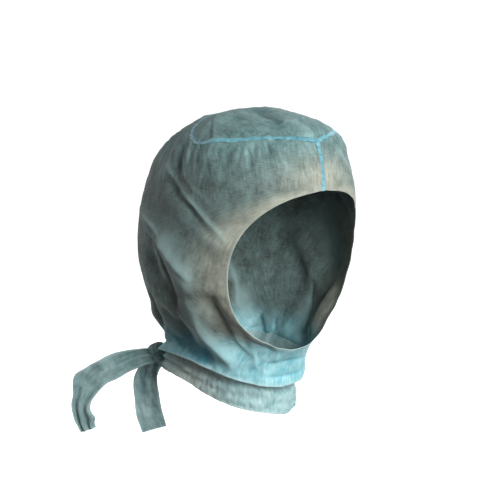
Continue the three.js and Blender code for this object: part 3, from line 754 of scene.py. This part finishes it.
def strap(name, stations, seed, kinks=()):
    """A strap of cloth, pleated lengthwise so that its full width fits the width that shows. Its
    first row is drawn into the knot."""
    rows = np.array(stations, float)
    rows[0, :3] += (rows[0, :3] - rows[1, :3]) * INTO_KNOT
    turns, spreads = (rows[:, STRAP_COLUMNS.index(key)] for key in ("turn", "spread"))
    middles = rows[:, :3] + (0, 0, CROWN_LIFT)
    middles = np.vstack((2 * middles[0] - middles[1], middles, 2 * middles[-1] - middles[-2]))
    count = len(rows) - 1

    def place(across, along):
        station = along * count
        k = np.clip(station.astype(int), 0, count - 1)
        middle, way = through(*(middles[k + i] for i in range(4)), (station - k)[:, None])
        way = unit(way)
        turn = np.radians(np.interp(station, range(count + 1), turns))[:, None]
        spread = np.interp(station, range(count + 1), spreads)
        flat = np.cross(way, TIE_FACE)
        sideways = unit(flat * np.cos(turn) + np.cross(way, flat) * np.sin(turn))
        face = unit(np.cross(sideways, way))
        offset = (across - 0.5) * TIE_WIDTH * spread
        for values in kinks:
            kink = dict(zip(KINK_COLUMNS, values))
            reach = ease((across - 0.5) * kink["edge"], *KINK_RUN)
            offset = offset + kink["out"] * kink["edge"] * bell(along - kink["at"], kink["width"]) * reach
        spot = middle + sideways * offset[:, None]
        waver = TIE_WAVER["out"] * ripple(spot, TIE_WAVER["size"], seed + TIE_WAVER["seed"])
        offset = offset + (across - 0.5) * waver
        slack = np.sqrt(np.maximum(1 / spread ** 2 - 1, PLEATS["least_slack"]))
        wander = PLEATS["wander"] * np.sin(along * PLEATS["bends"] + seed)
        pleat = np.sin(2 * math.pi * (across * PLEATS["count"] + wander))
        depth = PLEATS["depth"] * slack * TIE_WIDTH * spread / (2 * math.pi * PLEATS["count"])
        rumple = sum(height * ripple(spot, size, seed + more) for height, size, more in TIE_RUMPLES)
        height = depth * pleat + rumple
        # A painted highlight along the tie's edges and its cut end
        sides = np.exp(-np.minimum(across, 1 - across) * TIE_WIDTH / RIM_HIGHLIGHT_WIDTH["tie"])
        edge = np.maximum(sides, np.exp(-(1 - along) * TIE_LENGTH / RIM_HIGHLIGHT_WIDTH["hem"]))
        point = middle + sideways * offset[:, None] + face * height[:, None]
        # The pleat wave sets the tie's painted highlight on pleat ridges and painted shade in pleat folds
        return point, face, {"crease": PLEATS["painted_shading"] * pleat, "edge": edge}

    piece = grid_piece(name, CELLS["strap_across"], CELLS["strap_along"], place)
    return thicken(piece, offset=0.0)


KNOT_WAIST = {"width": 0.16, "wander": 0.05}
# The knot's pleats also set its painted highlight and painted shade
KNOT_PLEATS = {"count": 9, "slant": 2.5, "wraps": 60, "wrap_slant": 2, "painted_shading": 0.6}
KNOT_SWELL = {"waist": 0.18, "pleat": 0.06, "lump": 0.08, "lumps": 3}


def tie_knot():
    """A knot of gathered strap: pleats run to the two ends and one turn is wrapped round them."""
    seat, normal = knot_seat()
    centre = seat + normal * (KNOT["deep"] + KNOT["clear"])
    ends = np.array((LONG_TIE[0][:3], SHORT_TIE[0][:3])) + (0, 0, CROWN_LIFT)
    pole = unit(ends[0] - ends[1])
    pole = unit(pole - normal * (pole @ normal))
    axes = np.stack((np.cross(normal, pole), normal, pole))

    def place(across, along):
        turn, down = 2 * math.pi * across, math.pi * along
        waist = bell(along - 0.5 - KNOT_WAIST["wander"] * np.sin(turn), KNOT_WAIST["width"])
        pleat = np.sin(turn * KNOT_PLEATS["count"] + along * KNOT_PLEATS["slant"])
        wrap = np.sin(along * KNOT_PLEATS["wraps"] + KNOT_PLEATS["wrap_slant"] * np.sin(turn))
        pleat = pleat * (1 - waist) + wrap * waist
        swell = (1 + KNOT_SWELL["waist"] * waist + KNOT_SWELL["pleat"] * pleat
                 + KNOT_SWELL["lump"] * np.sin(KNOT_SWELL["lumps"] * turn + 1))
        ball = np.stack((np.sin(down) * np.cos(turn), np.sin(down) * np.sin(turn), np.cos(down)), -1)
        size = ball * swell[:, None] * (KNOT["high"], KNOT["deep"], KNOT["across"])
        size[:, 1] *= np.where(ball[:, 1] < 0, KNOT["into_hood"], 1.0)
        # The pleat wave sets the knot's painted highlight on pleat ridges and painted shade in pleat
        # folds
        return centre + size @ axes, ball @ axes, {
            "crease": KNOT_PLEATS["painted_shading"] * pleat, "edge": np.zeros(len(along))}

    return grid_piece("tie_knot_cloth", CELLS["knot_round"], CELLS["knot_down"], place, True)


def knot_seat():
    """Where the knot sits on the band, and the way out from it there."""
    def spot(turn, down):
        return band_point(np.array([radians(PULL["at"]) + turn]), np.array([1.0]),
                          np.array([KNOT["down_band"] + down]))[0][0]

    around = spot(STEP, 0) - spot(-STEP, 0)
    down = spot(0, STEP) - spot(0, -STEP)
    return spot(0, 0), -unit(np.cross(down, around))


# Cloth finish
def sockets(tree, inputs, outputs):
    for name, kind, value in inputs:
        socket = tree.interface.new_socket(name, in_out="INPUT", socket_type=f"NodeSocket{kind}")
        if value is not None:
            socket.default_value = value
    for name, kind in outputs:
        tree.interface.new_socket(name, in_out="OUTPUT", socket_type=f"NodeSocket{kind}")


def add(tree, kind, settings=None, **links):
    """A node with its settings. links fill its inputs, by name or by number as _0: a socket is
    linked, a value is set."""
    node = tree.nodes.new(f"ShaderNode{kind}")
    for key, value in (settings or {}).items():
        setattr(node, key, value)
    for key, value in links.items():
        socket = node.inputs[int(key[1:])] if key[0] == "_" else node.inputs[key.replace("_", " ")]
        if isinstance(value, bpy.types.NodeSocket):
            tree.links.new(value, socket)
        else:
            socket.default_value = value
    return node


def math_node(tree, operation, a, b=0.0):
    return add(tree, "Math", {"operation": operation}, _0=a, _1=b).outputs[0]


def mixed(tree, share, a, b):
    """A colour a share of the way from a to b."""
    return add(tree, "Mix", {"data_type": "RGBA"}, _0=share, _6=a, _7=b).outputs[2]


def fact(tree, key):
    """A named value that the mesh keeps for each of its points."""
    return add(tree, "Attribute", {"attribute_name": key}).outputs["Fac"]


NOISE_ROUGHNESS = 0.6


def noise(tree, coordinates, size, detail, stretch=(1, 1, 1), turn=0.0):
    """Noise from 0 to 1 with marks about size long, longer along a stretched axis."""
    scale = [1 / s for s in stretch]
    mapping = add(tree, "Mapping", Vector=coordinates, Scale=scale, Rotation=(0, 0, turn))
    return add(tree, "TexNoise", Vector=mapping.outputs[0], Scale=1 / (size * MM), Detail=detail,
               Roughness=NOISE_ROUGHNESS).outputs["Fac"]


def remap(tree, value, low, high, to_low=0.0, to_high=1.0):
    """A value led from one range over to another, and held at its ends."""
    links = {f"_{i}": given for i, given in enumerate((value, low, high, to_low, to_high))}
    return add(tree, "MapRange", {"clamp": True}, **links).outputs[0]


# Marks of the cloth: their size in mm, how much they count in its colour, and how far they stand up
CLOUDS = {"size": 17, "detail": 3, "share": 0.56}
FLECKS = {"size": 2.4, "detail": 3, "stretch": (1, 4, 1), "share": 0.44, "up": 0.6}
DENSITY = (0.37, 0.63)     # from deep to pale
FIBRES = {"size": 0.5, "detail": 1, "stretch": (14, 1, 1), "turns": (0.3, 1.3, 2.4),
          "range": (0.52, 0.78), "share": 0.18, "up": 0.3, "colour": (0.50, 0.66, 0.66, 1)}
BONDS = {"pitch": 1.9, "range": (0.62, 0.85), "share": 0.10, "down": 0.35}
CLOTH_ROUGHNESS = (0.86, 0.55)     # between the bonded points and on them


def nonwoven_group():
    """Thin spunbond cloth: clouds where the fibres lie thicker, single fibres, and small bonded
    points in a diamond grid."""
    tree = bpy.data.node_groups.new("nonwoven", "ShaderNodeTree")
    pitch = BONDS["pitch"] * MM
    sockets(tree, [("Deep", "Color", None), ("Pale", "Color", None), ("Bond Pitch", "Float", pitch)],
            [("Colour", "Color"), ("Roughness", "Float"), ("Height", "Float")])
    given, out = tree.nodes.new("NodeGroupInput"), tree.nodes.new("NodeGroupOutput")
    place = tree.nodes.new("ShaderNodeTexCoord")
    clouds = noise(tree, place.outputs["Object"], CLOUDS["size"], CLOUDS["detail"])
    flecks = noise(tree, place.outputs["UV"], FLECKS["size"], FLECKS["detail"], FLECKS["stretch"])
    fibres = [noise(tree, place.outputs["UV"], FIBRES["size"], FIBRES["detail"], FIBRES["stretch"], turn)
              for turn in FIBRES["turns"]]
    lines = math_node(tree, "MAXIMUM", math_node(tree, "MAXIMUM", fibres[0], fibres[1]), fibres[2])
    lines = remap(tree, lines, *FIBRES["range"])
    split = add(tree, "SeparateXYZ", _0=place.outputs["UV"])
    rate = math_node(tree, "DIVIDE", math.pi, given.outputs["Bond Pitch"])
    waves = [math_node(tree, "SINE", math_node(tree, "MULTIPLY", split.outputs[k], rate))
             for k in (0, 1)]
    points = math_node(tree, "ABSOLUTE", math_node(tree, "MULTIPLY", waves[0], waves[1]))
    bonds = remap(tree, points, *BONDS["range"])

    def weighed(value, weight):
        return math_node(tree, "MULTIPLY", value, weight)

    density = math_node(tree, "ADD", weighed(clouds, CLOUDS["share"]), weighed(flecks, FLECKS["share"]))
    colour = mixed(tree, remap(tree, density, *DENSITY), given.outputs["Deep"], given.outputs["Pale"])
    colour = mixed(tree, weighed(lines, FIBRES["share"]), colour, FIBRES["colour"])
    colour = mixed(tree, weighed(bonds, BONDS["share"]), colour, given.outputs["Deep"])
    height = math_node(tree, "ADD", weighed(flecks, FLECKS["up"]), weighed(lines, FIBRES["up"]))
    height = math_node(tree, "SUBTRACT", height, weighed(bonds, BONDS["down"]))
    roughness = remap(tree, bonds, 0.0, 1.0, *CLOTH_ROUGHNESS)
    for name, value in (("Colour", colour), ("Roughness", roughness), ("Height", height)):
        tree.links.new(value, out.inputs[name])
    return tree


def principled(name):
    """A new material, its nodes and its main shader."""
    material = bpy.data.materials.new(name)
    material.use_nodes = True
    tree = material.node_tree
    return material, tree, next(n for n in tree.nodes if n.type == "BSDF_PRINCIPLED")


# Colours of the cloth where its fibres lie thin and thick: deep and pale
COLOURS = {
    "crown": ((0.050, 0.115, 0.116, 1), (0.165, 0.290, 0.288, 1)),
    "side": ((0.036, 0.050, 0.043, 1), (0.118, 0.190, 0.180, 1)),
    "front": ((0.190, 0.200, 0.162, 1), (0.385, 0.392, 0.320, 1)),
    "neck": ((0.120, 0.420, 0.490, 1), (0.400, 0.690, 0.730, 1)),
    "band": ((0.160, 0.330, 0.350, 1), (0.430, 0.600, 0.600, 1)),
    "band_side": ((0.300, 0.380, 0.350, 1), (0.560, 0.640, 0.590, 1)),
    "tie": ((0.090, 0.185, 0.188, 1), (0.260, 0.370, 0.370, 1)),
}
# Painted shade in the hollows of the neck, and painted highlight on the ridges of the hood
NECK_HOLLOW_SHADE = (0.004, 0.170, 0.250, 1)
RIDGE_HIGHLIGHT = (0.270, 0.400, 0.395, 1)
# Colour of the painted highlight along the cut rims
RIM_HIGHLIGHT = (0.560, 0.700, 0.690, 1)
COVER = 0.95               # share of each face of the cloth that covers what is behind it
# Heights at which a crease's painted highlight on ridges and painted shade in hollows set in and are
# full, and how strong each is at both
RIDGE_HIGHLIGHT_TINT = (0.2, 2.0, 0.0, 0.65)
HOLLOW_SHADE_TINT = (-0.3, -2.6, 0.0, 0.75)
# Strength of the painted highlight along the cut rims
RIM_HIGHLIGHT_TINT = 0.8
CLOTH_FINISH = {"Alpha": COVER, "Sheen Weight": 0.05, "Sheen Roughness": 0.5, "Specular IOR Level": 0.3}
WELD_FINISH = {"Roughness": 0.5, "Sheen Weight": 0.1}
CLOTH_BUMP = {"Strength": 0.35, "Distance": 0.0003}
WELD_BUMP = {"Strength": 0.4, "Distance": 0.0003}
HOOD_ZONES = (("side_zone", "side"), ("front_zone", "front"), ("neck_zone", "neck"))
BAND_ZONES = (("side_zone", "band_side"),)


def finish(tree, shader, colour, cloth, bump, settings):
    """Lead a colour and the cloth's relief to the shader, and set what is the same all over."""
    tree.links.new(colour, shader.inputs["Base Color"])
    relief = add(tree, "Bump", Height=cloth.outputs["Height"], **bump)
    tree.links.new(relief.outputs[0], shader.inputs["Normal"])
    for key, value in settings.items():
        shader.inputs[key].default_value = value


def cloth_material(name, group, base, zones=()):
    """Cloth in a base colour, which each zone's attribute leads over to the zone's own colour."""
    material, tree, shader = principled(name)
    deep, pale = COLOURS[base]
    # Colours of the painted shade in hollows and the painted highlight on ridges
    hollow_shade = deep
    ridge_highlight = RIDGE_HIGHLIGHT if zones == HOOD_ZONES else pale
    for key, zone in zones:
        share = fact(tree, key)
        zone_deep, zone_pale = COLOURS[zone]
        deep = mixed(tree, share, deep, zone_deep)
        pale = mixed(tree, share, pale, zone_pale)
        hollow_shade = mixed(tree, share, hollow_shade, NECK_HOLLOW_SHADE if zone == "neck" else zone_deep)
        if zone == "neck":
            ridge_highlight = mixed(tree, share, ridge_highlight, zone_pale)
    cloth = add(tree, "Group", {"node_tree": group}, Deep=deep, Pale=pale)
    crease = fact(tree, "crease")
    # Crease height paints a highlight on ridges and a shade in hollows
    colour = mixed(tree, remap(tree, crease, *RIDGE_HIGHLIGHT_TINT), cloth.outputs["Colour"], ridge_highlight)
    colour = mixed(tree, remap(tree, crease, *HOLLOW_SHADE_TINT), colour, hollow_shade)
    # Painted highlight along the cut rims
    colour = mixed(tree, math_node(tree, "MULTIPLY", fact(tree, "edge"), RIM_HIGHLIGHT_TINT), colour, RIM_HIGHLIGHT)
    tree.links.new(cloth.outputs["Roughness"], shader.inputs["Roughness"])
    finish(tree, shader, colour, cloth, CLOTH_BUMP, CLOTH_FINISH)
    return material


WELD = {"deep": (0.060, 0.210, 0.260, 1), "pale": (0.190, 0.480, 0.540, 1),
        "mark": (0.025, 0.140, 0.180, 1)}
WELD_PATCHES = {"size": 18, "detail": 3, "range": (0.40, 0.60, 0.0, 0.85)}     # deeper stretches
WELD_SIDES = (0.7, 1.0, 0.0, 0.5)      # where a seam deepens to its sides, and how much
MARK_TINT = 0.6


def weld_material(group):
    material, tree, shader = principled("welded_seam")
    cloth = add(tree, "Group", {"node_tree": group}, Deep=WELD["deep"], Pale=WELD["pale"])
    place = tree.nodes.new("ShaderNodeTexCoord")
    patches = noise(tree, place.outputs["Object"], WELD_PATCHES["size"], WELD_PATCHES["detail"])
    patches = remap(tree, patches, *WELD_PATCHES["range"])
    colour = mixed(tree, patches, cloth.outputs["Colour"], WELD["deep"])
    mark = math_node(tree, "MULTIPLY", fact(tree, "mark"), MARK_TINT)
    colour = mixed(tree, mark, colour, WELD["mark"])
    colour = mixed(tree, remap(tree, fact(tree, "across"), *WELD_SIDES), colour, WELD["deep"])
    finish(tree, shader, colour, cloth, WELD_BUMP, WELD_FINISH)
    return material


# Studio
CAMERA = {"azimuth": -40, "elevation": 3, "roll": 5.7, "distance": 1.6, "lens": 124.4,
          "target": (0.0, 0.004, -0.128)}
FLOOR = {"height": -0.42, "radius": 2.6, "bend": 0.9, "wall": 3.2, "glow": 0.80, "middle": 0.001,
         "bend_steps": 12, "sides": 96, "white": 0.93, "roughness": 0.9}
SENSOR = 36                # width of the camera's picture, in mm


def aimed(name, data, azimuth, elevation, distance, roll=0.0):
    """A camera or light at a distance from the hood, turned towards its middle. roll turns the
    picture anticlockwise."""
    a, e = radians(azimuth), radians(elevation)
    back = Vector((math.sin(a) * math.cos(e), -math.cos(a) * math.cos(e), math.sin(e)))
    made = linked(name, data)
    made.location = Vector(CAMERA["target"]) + back * distance
    made.rotation_mode = "QUATERNION"
    rolled = Quaternion((0, 0, 1), -radians(roll))
    made.rotation_quaternion = (-back).to_track_quat("-Z", "Y") @ rolled
    return made


def camera():
    data = bpy.data.cameras.new("camera")
    data.lens = CAMERA["lens"]
    data.sensor_width = SENSOR
    bpy.context.scene.camera = aimed("camera", data, CAMERA["azimuth"], CAMERA["elevation"],
                                     CAMERA["distance"], CAMERA["roll"])


def floor():
    """A round floor that curves up into a wall all round, so that no edge shows from any side."""
    work = bmesh.new()
    radius, bend = FLOOR["radius"], FLOOR["bend"]
    outline = [(FLOOR["middle"], 0.0), (radius - bend, 0.0)]
    for k in range(1, FLOOR["bend_steps"] + 1):
        turn = math.pi / 2 * k / FLOOR["bend_steps"]
        outline.append((radius - bend + bend * math.sin(turn), bend - bend * math.cos(turn)))
    outline.append((radius, FLOOR["wall"]))
    verts = [work.verts.new((r, 0, FLOOR["height"] + z)) for r, z in outline]
    edges = [work.edges.new(pair) for pair in zip(verts, verts[1:])]
    bmesh.ops.spin(work, geom=verts + edges, cent=(0, 0, 0), axis=(0, 0, 1), angle=2 * math.pi,
                   steps=FLOOR["sides"], use_merge=True)
    bmesh.ops.recalc_face_normals(work, faces=work.faces)
    made = smooth_object("studio_floor", work)
    material, _, shader = principled("studio_paper")
    shader.inputs["Base Color"].default_value = (*[FLOOR["white"]] * 3, 1)
    shader.inputs["Roughness"].default_value = FLOOR["roughness"]
    shader.inputs["Emission Color"].default_value = (1, 1, 1, 1)
    shader.inputs["Emission Strength"].default_value = FLOOR["glow"]
    made.data.materials.append(material)
    made.visible_diffuse = False


LIGHT_COLUMNS = ("azimuth", "elevation", "distance", "size", "watts")
LIGHTS = {
    "key": (24, 24, 1.7, 0.6, 14),
    "front": (-14, 14, 1.8, 0.7, 28),
    "low": (-10, -5, 1.8, 0.9, 19),
    "back_left": (122, 14, 1.9, 1.0, 17),
    "back_right": (-165, 30, 1.9, 1.0, 8),
}
ALL_ROUND = 0.05           # light from everywhere


def lights():
    for name, values in LIGHTS.items():
        light = dict(zip(LIGHT_COLUMNS, values))
        data = bpy.data.lights.new(name, "AREA")
        data.shape = "DISK"
        data.size = light["size"]
        data.energy = light["watts"]
        aimed(name, data, light["azimuth"], light["elevation"], light["distance"])
    world = bpy.data.worlds.new("studio")
    world.use_nodes = True
    background = world.node_tree.nodes["Background"]
    background.inputs["Color"].default_value = (1, 1, 1, 1)
    background.inputs["Strength"].default_value = ALL_ROUND
    bpy.context.scene.world = world


camera()
floor()
lights()
bpy.context.scene.view_settings.view_transform = "Standard"

group = nonwoven_group()
hood_cloth = cloth_material("hood_cloth", group, "crown", HOOD_ZONES)
band_cloth = cloth_material("band_cloth", group, "band", BAND_ZONES)
tie_cloth = cloth_material("tie_cloth", group, "tie")
weld = weld_material(group)

crown = crown_cloth()
right_side = side_cloth("right_side_cloth", 1)
left_side = side_cloth("left_side_cloth", -1)
crown_weld = crown_seam()
front_weld = front_seam()
band = neck_band()
knot = tie_knot()
long_tie = strap("tie_long_cloth", LONG_TIE, seed=31, kinks=LONG_KINKS)
short_tie = strap("tie_short_cloth", SHORT_TIE, seed=37)

# What each piece stands for, its cloth and its finish
PIECES = (
    (crown, "crown_panel", hood_cloth, "nonwoven"),
    (right_side, "right_side_panel", hood_cloth, "nonwoven"),
    (left_side, "left_side_panel", hood_cloth, "nonwoven"),
    (crown_weld, "crown_seam", weld, "welded_seam"),
    (front_weld, "front_seam", weld, "welded_seam"),
    (band, "neck_band", band_cloth, "nonwoven"),
    (knot, "tie_knot", tie_cloth, "nonwoven"),
    (long_tie, "tie_long", tie_cloth, "nonwoven"),
    (short_tie, "tie_short", tie_cloth, "nonwoven"),
)
for piece, node, material, slot in PIECES:
    piece.data.materials.append(material)
    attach(piece, "root")
    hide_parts(node)
